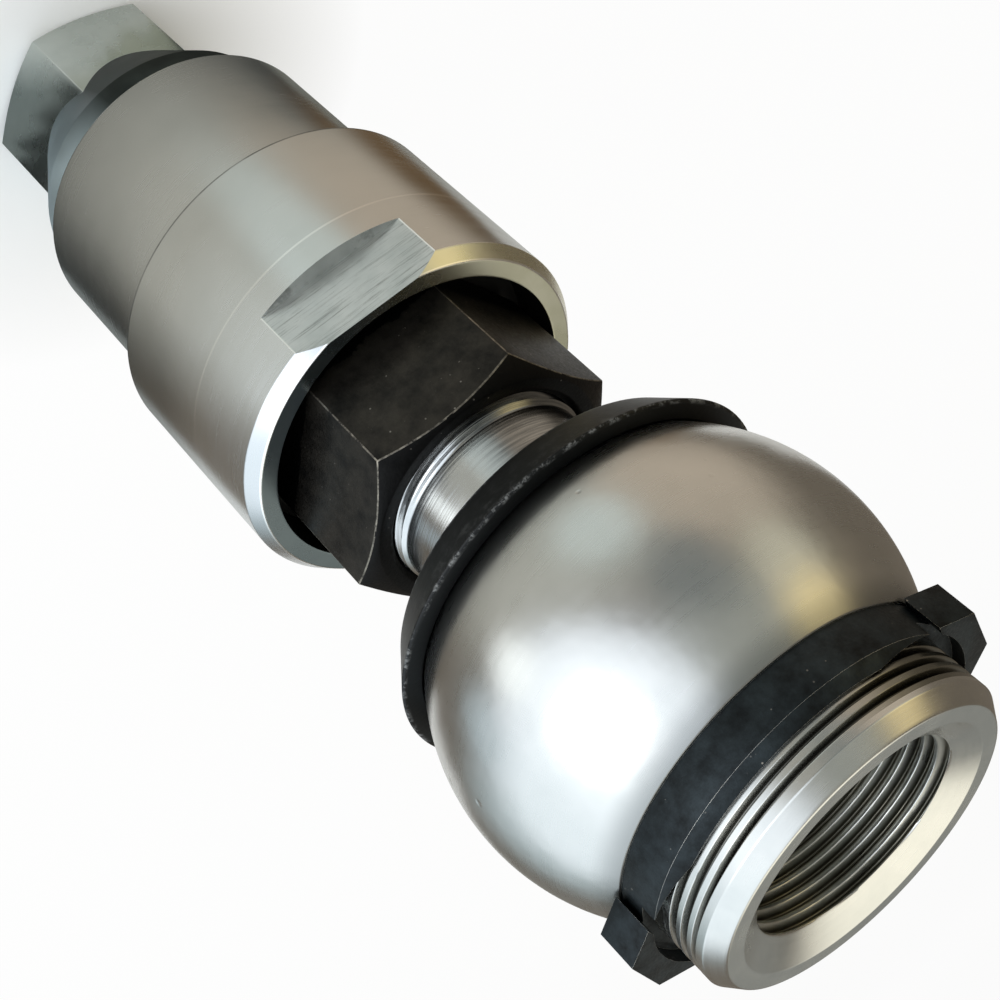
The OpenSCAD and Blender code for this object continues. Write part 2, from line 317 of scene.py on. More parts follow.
# One side is painted paler towards the rim, a painted highlight, and darker round to its edge, a painted
# shade
side = put(t, "ShaderNodeMapRange", {0: sep.outputs[0], 1: 0.002, 2: 0.016, 3: 0.0, 4: 0.75})
front = put(t, "ShaderNodeMapRange", {0: sep.outputs[2], 1: 0.098, 2: 0.130, 3: 0.0, 4: 1.0})
shade = overlaid(t, shade, tint("f0f5f8"), side, front)
side = put(t, "ShaderNodeMapRange", {0: sep.outputs[0], 1: 0.027, 2: 0.037, 3: 0.0, 4: 0.5})
rear = put(t, "ShaderNodeMapRange", {0: sep.outputs[2], 1: 0.105, 2: 0.120, 3: 1.0, 4: 0.0})
shade = overlaid(t, shade, tint("6e787b"), side, rear)
wire(b, {"Base Color": shade})

# Milled flats: cooler and duller than the turned faces, streaked along the cutter's path
milled, t, b, c, shade, _ = turned_steel("milled_steel", ("bcbfbd", "d2d4d2"), 0.34, 0.50, 1500.0, bump=0.5)
comb = put(t, "ShaderNodeMapping", {0: c, "Scale": (70.0, 70.0, 2400.0)})
marks = put(t, "ShaderNodeTexNoise", {"Vector": comb, "Scale": 1.0, "Detail": 5.0, "Roughness": 0.8})
streak = put(t, "ShaderNodeMapRange", {0: marks, 1: 0.52, 2: 0.66, 3: 0.0, 4: 0.75})
shade = overlaid(t, shade, tint("7c7d7b"), streak)
# The flat's two ends are rubbed bright where they meet the round of the sleeve
sep = put(t, "ShaderNodeSeparateXYZ", {0: c})
ends = put(t, "ShaderNodeMath", {0: sep.outputs[0]}, operation="ABSOLUTE")
rubbed = put(t, "ShaderNodeMapRange", {0: ends, 1: 0.01638, 2: 0.01652, 3: 0.0, 4: 1.0})
shade = overlaid(t, shade, tint("f3f2ee"), rubbed)
wire(b, {"Base Color": shade})

# Bright chamfer and rim of the sleeve, with a pale gold painted on as a warm reflection
rim_steel, t, b, c, shade, _ = turned_steel("bright_rim_steel", ("d8d4b9", "e2dec8"), 0.24, 0.32, 1200.0,
                                            bump=0.05)
# The painted gold reflection fades to cool steel round the rim, and the flat face is painted darker there, a
# painted shade
sep = put(t, "ShaderNodeSeparateXYZ", {0: c})
side = put(t, "ShaderNodeMapRange", {0: sep.outputs[0], 1: -0.006, 2: 0.008, 3: 0.0, 4: 1.0})
shade = overlaid(t, shade, tint("c8caca"), side)
out = off_axis(t, c)
face = put(t, "ShaderNodeMath", {0: out, 1: (SLEEVE_R - CHAMFER_W) * MM}, operation="LESS_THAN")
shade = overlaid(t, shade, tint("8b979b"), face, side)
# The corner between chamfer and face is worn to a bright line
off = put(t, "ShaderNodeMath", {0: out, 1: (SLEEVE_R - CHAMFER_W + 0.05) * MM}, operation="SUBTRACT")
off = put(t, "ShaderNodeMath", {0: off}, operation="ABSOLUTE")
edge = put(t, "ShaderNodeMapRange", {0: off, 1: 0.00012, 2: 0.00022, 3: 1.0, 4: 0.0})
shade = overlaid(t, shade, tint("f6f5f1"), edge)
wire(b, {"Base Color": shade})

# Ground and hand-polished steel of the round housing: soft wide highlight, faint dings
polished, t, b, c, shade, bumps = turned_steel("polished_steel", ("c8c8c4", "d0cfcb"), 0.25, 0.31, 900.0,
                                               housing=True, mottle=60.0, bump=0.008)
wavy = put(t, "ShaderNodeTexNoise", {"Vector": c, "Scale": 130.0, "Detail": 2.0})
soft = put(t, "ShaderNodeBump", {"Strength": 0.22, "Distance": 0.0004, "Height": wavy, "Normal": bumps})
pits = put(t, "ShaderNodeTexVoronoi", {"Vector": c, "Scale": 75.0, "Randomness": 1.0})
pits = put(t, "ShaderNodeMapRange", {0: pits, 1: 0.03, 2: 0.07, 3: 0.0, 4: 1.0})
dings = put(t, "ShaderNodeBump", {"Strength": 0.35, "Distance": 0.0003, "Height": pits, "Normal": soft})
# Painted dark reflections of the ring nut and the seal lie on the steel in front of the seal and behind the
# ring nut
sep = put(t, "ShaderNodeSeparateXYZ", {0: c})
by_nut = put(t, "ShaderNodeMapRange", {0: sep.outputs[2], 1: 0.0220, 2: 0.0272, 3: 0.0, 4: 0.50},
             interpolation_type="SMOOTHSTEP")
by_seal = put(t, "ShaderNodeMapRange", {0: sep.outputs[2], 1: -0.0240, 2: -0.0165, 3: 0.55, 4: 0.0},
              interpolation_type="SMOOTHSTEP")
dark_reflection = put(t, "ShaderNodeMath", {0: by_nut, 1: by_seal}, operation="MAXIMUM")
shade = overlaid(t, shade, tint("3a4142"), dark_reflection)
wire(b, {"Base Color": shade, "Normal": dings})

# Turned neck with its threads: pale steel with gold glints on the crests
neck_steel, t, b, c, shade, _ = turned_steel("neck_steel", ("cacac6", "d4d3ce"), 0.22, 0.29, 1200.0,
                                             housing=True, rings=True, bump=0.04)
# One side of the outer thread is darker and olive, and all its valleys are darker
sep = put(t, "ShaderNodeSeparateXYZ", {0: c})
thread = put(t, "ShaderNodeMath", {0: sep.outputs[2], 1: (OUTER_Z1 + 0.3) * MM}, operation="LESS_THAN")
side = put(t, "ShaderNodeMapRange", {0: sep.outputs[0], 1: -0.004, 2: -0.014, 3: 0.0, 4: 0.75})
shade = overlaid(t, shade, tint("605c48"), side, thread)
deep = put(t, "ShaderNodeMapRange", {0: off_axis(t, c), 1: (NECK_R - 1.2) * MM, 2: (NECK_R - 0.35) * MM,
                                     3: 0.82, 4: 0.0})
shade = overlaid(t, shade, tint("2e2c24"), deep, thread)
wire(b, {"Base Color": shade})

# Stud shank, polished with emery round its axis, so it shows fine scratches
shank_steel, t, b, c, shade, _ = turned_steel("shank_steel", ("c6c7c6", "d6d6d4"), 0.15, 0.27, 1500.0,
                                              bump=0.4)
# One side of the shank is painted darker, a painted dark reflection that the emery lines break up
comb = put(t, "ShaderNodeMapping", {0: c, "Scale": (60.0, 60.0, 1800.0)})
emery = put(t, "ShaderNodeTexNoise", {"Vector": comb, "Scale": 1.0, "Detail": 4.0, "Roughness": 0.7})
emery = put(t, "ShaderNodeMapRange", {0: emery, 1: 0.35, 2: 0.65, 3: 0.95, 4: 0.55})
sep = put(t, "ShaderNodeSeparateXYZ", {0: c})
side = put(t, "ShaderNodeMapRange", {0: sep.outputs[0], 1: 0.005, 2: -0.002, 3: 0.0, 4: 1.0})
shade = overlaid(t, shade, tint("5e6061"), side, emery)
wire(b, {"Base Color": shade})

# Bright zinc plate on the forged plug, with its slight blue green
zinc, t, b = finish("bright_zinc_plate", Metallic=1.0)
c = spot(t)
tone = put(t, "ShaderNodeTexNoise", {"Vector": c, "Scale": 120.0, "Detail": 3.0})
shade = put(t, "ShaderNodeValToRGB", {0: tone}, stops=((0.35, tint("b4bab4")), (0.7, tint("c2c7c1"))))
gloss = put(t, "ShaderNodeMapRange", {0: tone, 1: 0.3, 2: 0.7, 3: 0.25, 4: 0.31})
swell = put(t, "ShaderNodeTexNoise", {"Vector": c, "Scale": 70.0, "Detail": 0.0})
bumps = put(t, "ShaderNodeBump", {"Strength": 0.05, "Distance": 0.0001, "Height": swell})
wire(b, {"Base Color": shade, "Roughness": gloss, "Normal": bumps})

# The cone and collar behind the hexagon: painted dark, a painted shade and dark reflection, and painted
# bright on one side, a painted highlight
shaded_zinc_plate, t, b = finish("dull_zinc_plate", Metallic=1.0)
c = spot(t)
tone = put(t, "ShaderNodeTexNoise", {"Vector": c, "Scale": 90.0, "Detail": 4.0})
shade = put(t, "ShaderNodeValToRGB", {0: tone}, stops=((0.35, tint("2c302f")), (0.7, tint("464c4a"))))
sep = put(t, "ShaderNodeSeparateXYZ", {0: c})
lit_side = put(t, "ShaderNodeMapRange", {0: sep.outputs[0], 1: 0.006, 2: 0.022, 3: 0.0, 4: 1.0})
shade = overlaid(t, shade, tint("c4d2d6"), lit_side)
gloss = put(t, "ShaderNodeMapRange", {0: tone, 1: 0.3, 2: 0.7, 3: 0.45, 4: 0.58})
wire(b, {"Base Color": shade, "Roughness": gloss})


def black(name, wear, sealant=None, tones=("1c1b1a", "302d2a"), bare="a59d92"):
    """Black oxide with dust specks, bare where rubbed, and old sealant below a ragged height in metres."""
    mat, t, b = finish(name)
    c = spot(t)
    slow = put(t, "ShaderNodeTexNoise", {"Vector": c, "Scale": 160.0, "Detail": 5.0, "Roughness": 0.65})
    shade = put(t, "ShaderNodeValToRGB", {0: slow}, stops=((0.3, tint(tones[0])), (0.7, tint(tones[1]))))
    speck = put(t, "ShaderNodeTexVoronoi", {"Vector": c, "Scale": 420.0, "Randomness": 1.0})
    speck = put(t, "ShaderNodeMapRange", {0: speck, 1: 0.05, 2: 0.10, 3: 1.0, 4: 0.0})
    patch = put(t, "ShaderNodeMapRange", {0: slow, 1: 0.5, 2: 0.62, 3: 0.0, 4: 1.0})
    shade = overlaid(t, shade, tint("9a948c"), speck, patch)
    worn = put(t, "ShaderNodeTexNoise", {"Vector": c, "Scale": 520.0, "Detail": 4.0, "Roughness": 0.75})
    worn = put(t, "ShaderNodeMapRange", {0: worn, 1: wear[0], 2: wear[1], 3: 0.0, 4: 1.0})
    shade = overlaid(t, shade, tint(bare), worn)
    if sealant:
        sep = put(t, "ShaderNodeSeparateXYZ", {0: c})
        torn = put(t, "ShaderNodeTexNoise", {"Vector": c, "Scale": 230.0, "Detail": 4.0, "Roughness": 0.7})
        torn = put(t, "ShaderNodeMapRange", {0: torn, 3: -0.0022, 4: 0.0022})
        high = put(t, "ShaderNodeMath", {0: sep.outputs[2], 1: torn}, operation="ADD")
        dim = put(t, "ShaderNodeMapRange", {0: high, 1: sealant, 2: sealant + 0.0002, 3: 1.0, 4: 0.0})
        shade = overlaid(t, shade, tint("030303"), dim)
    metal = put(t, "ShaderNodeMapRange", {0: worn, 3: 0.75, 4: 1.0})
    grit = put(t, "ShaderNodeTexNoise", {"Vector": c, "Scale": 1500.0, "Detail": 3.0, "Roughness": 0.7})
    gloss = put(t, "ShaderNodeMapRange", {0: grit, 1: 0.3, 2: 0.7, 3: 0.36, 4: 0.56})
    bumps = put(t, "ShaderNodeBump", {"Strength": 0.35, "Distance": 0.00015, "Height": grit})
    wire(b, {"Base Color": shade, "Metallic": metal, "Roughness": gloss, "Normal": bumps})
    return mat


black_oxide = black("black_oxide_steel", (0.72, 0.78), tones=("040505", "2e3538"))
nut_black = black("nut_black_oxide", (0.70, 0.78), sealant=TORN_Z * MM, tones=("151412", "3b3731"))
# The lock nut's thread mouths, bore and upward faces take a darker black
nut_cone = black("nut_mouth_black_steel", (0.74, 0.80), tones=("0b0b0a", "151413"))
black_edge = black("rubbed_black_edge", (0.36, 0.60), sealant=TORN_Z * MM, bare="8f887c")
ring_edge = black("rubbed_ring_edge", (0.25, 0.48), bare="d0ccc4")

# The counterbore's wall, nearly black
counterbore_dark, t, b = finish("counterbore_dark_steel", Metallic=0.6)
tone = put(t, "ShaderNodeTexNoise", {"Vector": spot(t), "Scale": 500.0, "Detail": 4.0})
shade = put(t, "ShaderNodeValToRGB", {0: tone}, stops=((0.35, tint("0a0a09")), (0.75, tint("1d1b18"))))
gloss = put(t, "ShaderNodeMapRange", {0: tone, 3: 0.35, 4: 0.7})
wire(b, {"Base Color": shade, "Roughness": gloss})

# Inner thread: bright crests, valleys darker by the distance from the neck's axis, and painted shade deeper
# in the bore towards its floor
bore_thread, t, b, c, shade, _ = turned_steel("inner_thread_steel", ("c9cac6", "d8d8d2"), 0.26, 0.36, 1500.0,
                                       housing=True, bump=0.06)
sep = put(t, "ShaderNodeSeparateXYZ", {0: c})
deep = put(t, "ShaderNodeMapRange", {0: off_axis(t, c), 1: (BORE_R + 0.5) * MM, 2: (BORE_R + 1.2) * MM,
                                     3: 0.0, 4: 0.86})
far = put(t, "ShaderNodeMapRange", {0: sep.outputs[2], 1: (BORE_FLOOR + 0.5) * MM, 2: (BORE_FLOOR + 5) * MM,
                                    3: 0.6, 4: 0.0})
valley_and_depth_dark = put(t, "ShaderNodeMath", {0: deep, 1: far}, operation="MAXIMUM")
wire(b, {"Base Color": overlaid(t, shade, tint("565140"), valley_and_depth_dark)})

# Nitrile rubber of the seal: deep black, dull, greyed by dust along its edge and ridge, and that grey also
# paints their highlight lines
rubber, t, b = finish("nitrile_rubber", Roughness=0.42, Specular_IOR_Level=0.28)
c = spot(t)
dust_and_highlight = put(t, "ShaderNodeTexNoise", {"Vector": c, "Scale": 420.0, "Detail": 6.0, "Roughness": 0.8})
dust_and_highlight = put(t, "ShaderNodeMapRange", {0: dust_and_highlight, 1: 0.50, 2: 0.60, 3: 0.0, 4: 0.9})
edge = put(t, "ShaderNodeAttribute", attribute_name="edge").outputs["Fac"]
shade = overlaid(t, tint("060707"), tint("7a7a78"), dust_and_highlight, edge)
grain = put(t, "ShaderNodeTexNoise", {"Vector": c, "Scale": 900.0, "Detail": 3.0})
bumps = put(t, "ShaderNodeBump", {"Strength": 0.2, "Distance": 0.00015, "Height": grain})
wire(b, {"Base Color": shade, "Normal": bumps})

# Turned bronze of the two cups, blued spring steel of the washer, and plain steel of the retaining ring
bronze = turned_steel("turned_bronze", ("a8834e", "b8935c"), 0.28, 0.38, 2500.0, housing=True)[0]
spring = turned_steel("spring_steel", ("6f7076", "85868a"), 0.25, 0.35, 2500.0, housing=True)[0]
inner_steel = turned_steel("ring_steel", ("9c9892", "aca8a0"), 0.30, 0.40, 2500.0, housing=True)[0]

# Round housing with its seat cavity, outer and inner thread
BORE_END, NECK_LAND, CAVITY_R, RELIEF_R = 44.2, 44.2, 26, 31.45
arc = []
for i in range(61):
    z = SHOULDER_Z + (UNDERSIDE_Z - SHOULDER_Z) * i / 60
    arc.append((math.sqrt(HOUSING_R ** 2 - z * z), z, 0))
outline = ([(0, BORE_FLOOR), (BORE_R + 1.6, BORE_FLOOR)]
           + along((BORE_R, BORE_FLOOR + 0.4), (BORE_R, BORE_END), 0.105)
           + along((BORE_R + 0.2, BORE_END + 0.15), (MOUTH_R, NECK_END), 0.4)[:-1]
           + [(MOUTH_R, NECK_END, 0.25), (30.75, NECK_END, 0.3)]
           + along((31.2, 46.82), (NECK_R, NECK_LAND), 0.25)
           + along((NECK_R, 44.0), (NECK_R, 43.0), 0.5)
           + along((NECK_R, OUTER_Z1), (NECK_R, OUTER_Z0), 0.075)
           + along((NECK_R, 35.0), (NECK_R, 31.6), 0.5)
           + [(RELIEF_R, 29.7, 0), (RELIEF_R, SHOULDER_Z, 0), (35.9, SHOULDER_Z, 0.3)]
           + arc[1:-1]
           + [(31.64, UNDERSIDE_Z, 0.5), (CAVITY_R, UNDERSIDE_Z, 0.3), (CAVITY_R, ROOF_Z, 0.5),
              (0, ROOF_Z)])
housing = turned("housing_turned", broken(outline), 180)


def neck_threads(r, a, z):
    """Cuts the outer thread, with broad worn crests that run out before the chamfer, and the inner one."""
    new = r.copy()
    outer = (r > 29) & (z > OUTER_Z0 - 0.1) & (z < OUTER_Z1 + 0.2)
    turn = (z - 37.9) / OUTER_PITCH - a / (2 * math.pi) - 0.212
    valley = np.clip((np.abs((turn + 0.5) % 1.0 - 0.5) * 2 - 0.42) / 0.46, 0, 1)
    runs_out = np.clip((OUTER_Z1 - 0.4 - z) / 0.5, 0, 1)
    new[outer] = (r - 1.5 * valley * runs_out * (r > NECK_R - 0.5))[outer]
    inner = (r < 26) & (r > 20) & (z > 30.2) & (z < 46.2)
    deep = BORE_R + 1.6 * np.clip(1.12 * (1 - thread_wave(a, z, 0.4)) - 0.12, 0, 1)
    new[inner] = np.maximum(r, deep)[inner]
    return new


moved(housing, neck_threads)
placed(housing, HOUSING_FRAME, "housing", "ball_housing", [polished, neck_steel, bore_thread],
       smooth=62)
to_housing = HOUSING_FRAME.inverted()
for f in housing.data.polygons:
    p = to_housing @ f.center / MM
    if p.z > SHOULDER_Z + 0.1:
        f.material_index = 2 if math.hypot(p.x, p.y) < BORE_R + 1.9 and p.z < BORE_END - 0.1 else 1

# Ring nut: turned ring, two sloped lugs, a relieved mouth at each lug, all edges rubbed bright
ring_nut = turned("ring_nut_lugged", [(RING_BORE_R, SHOULDER_Z), (RING_R, SHOULDER_Z), (RING_R, RING_TOP),
                                      (RING_BORE_R + 0.6, RING_RIM), (RING_BORE_R, RING_RIM),
                                      (RING_BORE_R, SHOULDER_Z)], 120)
for side in (0, 180):
    lug = added("lug", bpy.ops.mesh.primitive_cube_add, size=1, location=(0, 0, 0),
                scale=(1, 1, (RING_TOP - SHOULDER_Z) * MM))
    for v in lug.data.vertices:
        outside = v.co.x > 0
        half = LUG_W / 2 if outside else LUG_W / 2 + 6.6
        v.co.x = (LUG_R if outside else 34.0) * MM
        v.co.y = math.copysign(half * MM, v.co.y)
        v.co.z += (RING_TOP + SHOULDER_Z) / 2 * MM
    bpy.ops.object.mode_set(mode="EDIT")
    bpy.ops.mesh.select_all(action="SELECT")
    bpy.ops.mesh.normals_make_consistent(inside=False)
    bpy.ops.object.mode_set(mode="OBJECT")
    lug.data.transform(Matrix.Rotation(math.radians(side), 4, "Z"))
    cut(ring_nut, lug, "UNION")
for side in (-1, 1):
    mouth = added("mouth", bpy.ops.mesh.primitive_cylinder_add, vertices=128, radius=(RING_R - 4.6) * MM,
                  depth=10 * MM, location=(side * 5.2 * MM, 0, (RING_TOP + 2) * MM))
    cut(ring_nut, mouth, "DIFFERENCE")
for m in (black_oxide, ring_edge):
    ring_nut.data.materials.append(m)
edges_broken(ring_nut, 0.42, worn=True)
ring_nut.data.transform(Matrix.Rotation(math.radians(LUG_DIR), 4, "Z"))
placed(ring_nut, HOUSING_FRAME, "housing", "ring_nut", [black_oxide, ring_edge])

# Ball stud: ball, waist, polished shank, and the last thread turns beside the nut
BALL_TOP, BALL_FOOT = 20.8, -18.0
ball = [(math.sqrt(BALL_R ** 2 - z * z), z + BALL_Z, 0) for z in np.linspace(BALL_TOP, BALL_FOOT, 40)]
stud_profile = ([(0, BALL_Z + BALL_TOP), (7.17, BALL_Z + BALL_TOP, 0.3)] + ball[1:]
                + [(WAIST_R, BALL_Z + BALL_FOOT, 0), (WAIST_R, BALL_Z - 37.5, 1.5)]
                + [(SHANK_R, BALL_Z - 40.2, 0.5)]
                + along((SHANK_R, BALL_Z - 41), (SHANK_R, NUT_Z1 + 2.2), 2.0)
                + along((SHANK_R + 0.02, NUT_Z1 + 1.6), (STUD_R, NUT_Z1 + 0.7), 0.19)
                + along((STUD_R, NUT_Z1 + 0.5), (STUD_R, NUT_Z1 - 3), 0.19)
                + [(STUD_R, NUT_Z1 - 5, 0), (STUD_R, 92, 0.5), (20.4, 90, 0.3), (0, 90)])
stud = turned("stud_turned", broken(stud_profile), 160)


def stud_thread(r, a, z):
    """Cuts the thread turns that show beside the lock nut, fading in under it and out on the shank."""
    fade = np.clip((NUT_Z1 + 0.9 - z) / 0.4, 0, 1) * np.clip((z - NUT_Z1 + 4.5) / 1.5, 0, 1)
    new = np.minimum(r, STUD_R - 1.7 * thread_wave(a, z, 0.9))
    return np.where((z > NUT_Z1 - 5) & (z < NUT_Z1 + 8), r + (new - r) * fade, r)


moved(stud, stud_thread)
placed(stud, STAND_FRAME, "sleeve", "ball_stud", [shank_steel], smooth=62)

# Lock nut: hexagon with its corners turned down to a cone at both ends and countersunk thread mouths
corner = NUT_AF / 2 / COS30 + 0.5
low = NUT_AF / 2 - 1
rise = (corner - low) * TAN30
nut = hexagon("lock_nut_black", NUT_AF, NUT_Z0 - 1, NUT_Z1 + 1, NUT_TURN)
barrel = turned("barrel", [(THREAD_R, NUT_Z0 + 1.4), (THREAD_R + 1.4, NUT_Z0), (low, NUT_Z0),
                           (corner, NUT_Z0 + rise), (corner, NUT_Z1 - rise), (low, NUT_Z1),
                           (THREAD_R + 1.4, NUT_Z1), (THREAD_R, NUT_Z1 - 1.4),
                           (THREAD_R, NUT_Z0 + 1.4)], 120)
cut(nut, barrel, "INTERSECT")
nut_finishes = [nut_black, black_edge, nut_cone]
for m in nut_finishes:
    nut.data.materials.append(m)
edges_broken(nut, 0.2, worn=True)
for f in nut.data.polygons:
    radius = math.hypot(f.center.x, f.center.y) / MM
    if radius < 27.4 or (f.material_index == 0 and f.normal.z > 0.3):
        f.material_index = 2
placed(nut, STAND_FRAME, "sleeve", "lock_nut", nut_finishes)

# Sleeve: stepped turning with a chamfered rim, counterbore and two milled flats
sleeve = turned("sleeve_turned", broken([
    (THREAD_R, SLEEVE_Z0 + 1.5), (THREAD_R + 1.5, SLEEVE_Z0, 0.2), (SLEEVE_REAR_R - 0.8, SLEEVE_Z0, 0.2),
    (SLEEVE_REAR_R, SLEEVE_Z0 + 0.8, 0.2), (SLEEVE_REAR_R, STEP_Z, 0.2), (SLEEVE_R - 0.5, STEP_Z, 0.15),
    (SLEEVE_R, STEP_Z + 0.5, 0.15), (SLEEVE_R, RIM_Z - CHAMFER_H, 0.2), (SLEEVE_R - CHAMFER_W, RIM_Z, 0.2),
    (COUNTER_R, RIM_Z, 0.25), (COUNTER_R, NUT_Z0, 0.3), (THREAD_R, NUT_Z0, 0.2),
    (THREAD_R, SLEEVE_Z0 + 1.5)]), 160)
for side in (-1, 1):
    cutter = added("cutter", bpy.ops.mesh.primitive_cube_add, size=1,
                   location=(0, side * (FLATS_AF / 2 + 10) * MM, (RIM_Z - FLATS_L / 2 + 0.5) * MM),
                   scale=(90 * MM, 20 * MM, (FLATS_L + 1) * MM))
    cut(sleeve, cutter, "DIFFERENCE")
placed(sleeve, STAND_FRAME, "sleeve", "sleeve_body", [satin, milled, rim_steel, counterbore_dark],
       smooth=20)
for f in sleeve.data.polygons:
    p, n = f.center / MM, f.normal
    out, up = abs(p.y) - FLATS_AF / 2, p.z - RIM_Z + FLATS_L
    on_flat = abs(abs(n.y) - 1) < 0.001 and abs(out) < 0.05 and up > -0.1
    on_wall = abs(up) < 0.1 and n.z > 0.9 and out > -0.1
    if on_flat or on_wall:
        f.material_index = 1
    elif NUT_Z0 - 0.5 < p.z < RIM_Z - 0.3 and math.hypot(p.x, p.y) < COUNTER_R + 0.05:
        f.material_index = 3
    elif p.z > RIM_Z - CHAMFER_H - 0.05 and n.z > 0.3:
        f.material_index = 2

# Plug: forged hexagon that runs into a cone, a collar and the threaded spigot
corner = PLUG_AF / 2 / COS30 + 0.5
plug = hexagon("plug_forged", PLUG_AF, 0, HEX_L + CONE_L - 1, PLUG_TURN)
cap = turned("cap", [(0, -0.001), (PLUG_AF / 2 - 1.1, 0), (corner, (corner + 1.1 - PLUG_AF / 2) * TAN30),
                     (corner, 60), (0, 60)], 120)
cut(plug, cap, "INTERSECT")
cone = turned("cone", [(0, HEX_L), (PLUG_AF / 2 - 0.3, HEX_L), (COLLAR_R, HEX_L + CONE_L),
                       (COLLAR_R, SLEEVE_Z0), (STUD_R, SLEEVE_Z0), (STUD_R, 73.5), (20.9, 75), (0, 75)], 120)
cut(plug, cone, "UNION")
edges_broken(plug, 1.1, angle=26)
placed(plug, STAND_FRAME, "sleeve", "hex_plug", [zinc, shaded_zinc_plate])
for f in plug.data.polygons:
    coned = f.normal.z < -0.25 and f.center.z > 15 * MM
    collar = f.center.z > (HEX_L + CONE_L - 0.5) * MM and math.hypot(f.center.x, f.center.y) > 30 * MM
    f.material_index = 1 if coned or collar else 0

# Rubber seal: a snug lip on the shank and a dished skirt over the housing, with a rounded ridge
lip = SHANK_R + SEAL_LIP_GAP
dish = HOUSING_R + SEAL_GAP
front_z = SEAL_EDGE_Z + 0.5
skirt = [(dish * math.sin(a), -dish * math.cos(a), 0)
         for a in np.linspace(math.acos(-front_z / dish), math.asin(lip / dish), 26)]
ridge = (36.58, -33.64)
seal = turned("seal_rubber", broken([
    (lip, -math.sqrt(dish ** 2 - lip ** 2)), (lip, -42.98, 0.2), (lip + 1, -42.6, 0.3), (30.0, -37.85, 0.6),
    (*ridge, 0.8), (SEAL_EDGE_R, SEAL_EDGE_Z, 0.5), (SEAL_EDGE_R - 0.5, front_z, 0.3),
    (math.sqrt(dish ** 2 - front_z ** 2), front_z, 0.2)] + skirt[1:]))
# Nearness to the outer edge and the ridge, where dust greys the rubber and the grey also paints a highlight
# line
edge = seal.data.attributes.new("edge", "FLOAT", "POINT")
values = []
for v in seal.data.vertices:
    r, z = math.hypot(v.co.x, v.co.y) / MM, v.co.z / MM
    values.append(max(0.0, 1 - min(math.dist((r, z), worn) for worn in ((41.9, -25.0), ridge)) / 0.75))
edge.data.foreach_set("value", values)
placed(seal, BALL_FRAME, "seal", "dust_seal", [rubber], smooth=50)

# Inner pieces keep their solids
for node, metal, slot in (("front_bearing_cup", bronze, "bronze"), ("rear_bearing_cup", bronze, "bronze"),
                          ("preload_spring", spring, "spring_steel"),
                          ("retaining_ring", inner_steel, "turned_steel")):
    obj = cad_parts[node]
    obj.data.materials.clear()
    obj.data.materials.append(metal)

# Studio, in metres: the place that the cards and the lamp face, and two painted bright spots on the floor
# that the steel mirrors
MIDDLE = Vector((0, 0, 0.17))
LIT_AT, GLEAM_AT = (-0.010, -0.032, 0.0), (0.0105, -0.036, 0.0)


def bare_material(name):
    """A new material with an empty node tree, and that tree."""
    mat = bpy.data.materials.new(name)
    mat.use_nodes = True
    mat.node_tree.nodes.clear()
    return mat, mat.node_tree


# Pale floor. Near the foot it shows its own shaded paint, so that the part stands in its shadow
floor = added("floor", bpy.ops.mesh.primitive_plane_add, size=12, location=(0, 0, -0.0002))
floor_mat, t = bare_material("pale_floor")
path = put(t, "ShaderNodeLightPath")
glossy = path.outputs["Is Glossy Ray"]
seen = put(t, "ShaderNodeMath", {0: glossy, 1: 0.5}, operation="MULTIPLY")
seen = put(t, "ShaderNodeMath", {0: path.outputs["Is Camera Ray"], 1: seen}, operation="MAXIMUM")
seen = put(t, "ShaderNodeMath", {0: seen, 1: path.outputs["Is Transmission Ray"]}, operation="MAXIMUM")
c = spot(t)
reach = put(t, "ShaderNodeVectorMath", {0: c}, operation="LENGTH")
away = put(t, "ShaderNodeMapRange", {0: reach, 1: 0.02, 2: 0.08, 3: 0.1, 4: 0.94})
share = put(t, "ShaderNodeMath", {0: seen, 1: away}, operation="MULTIPLY")
# The metal sees the floor with painted shade: dark at the foot, the white of the background further off
bright = put(t, "ShaderNodeMapRange", {0: reach, 1: 0.10, 2: 0.24, 3: 0.0, 4: 1.0})
lit = put(t, "ShaderNodeVectorMath", {0: c, 1: LIT_AT}, operation="DISTANCE")
lit = put(t, "ShaderNodeMapRange", {0: lit, 1: 0.020, 2: 0.032, 3: 1.0, 4: 0.0})
bright = put(t, "ShaderNodeMath", {0: bright, 1: lit}, operation="MAXIMUM")
shaded = put(t, "ShaderNodeMath", {0: 1.0, 1: bright}, operation="SUBTRACT")
shaded = put(t, "ShaderNodeMath", {0: glossy, 1: shaded}, operation="MULTIPLY")
open_share = put(t, "ShaderNodeMath", {0: 1.0, 1: shaded}, operation="SUBTRACT")
share = put(t, "ShaderNodeMath", {0: share, 1: open_share}, operation="MULTIPLY")
gleam = put(t, "ShaderNodeVectorMath", {0: c, 1: GLEAM_AT}, operation="DISTANCE")
gleam = put(t, "ShaderNodeMapRange", {0: gleam, 1: 0.004, 2: 0.009, 3: 1.0, 4: 0.0})
gleam = put(t, "ShaderNodeMath", {0: gleam, 1: glossy}, operation="MULTIPLY")
share = put(t, "ShaderNodeMath", {0: share, 1: gleam}, operation="MAXIMUM")
paint = put(t, "ShaderNodeBsdfDiffuse", {"Color": overlaid(t, tint("f2f2f0"), tint("979b9a"), shaded)})
glow = put(t, "ShaderNodeEmission", {"Color": (1, 1, 1, 1), "Strength": 1.0})
surface = put(t, "ShaderNodeMixShader", {0: share, 1: paint, 2: glow})
put(t, "ShaderNodeOutputMaterial", {0: surface})
floor.data.materials.append(floor_mat)

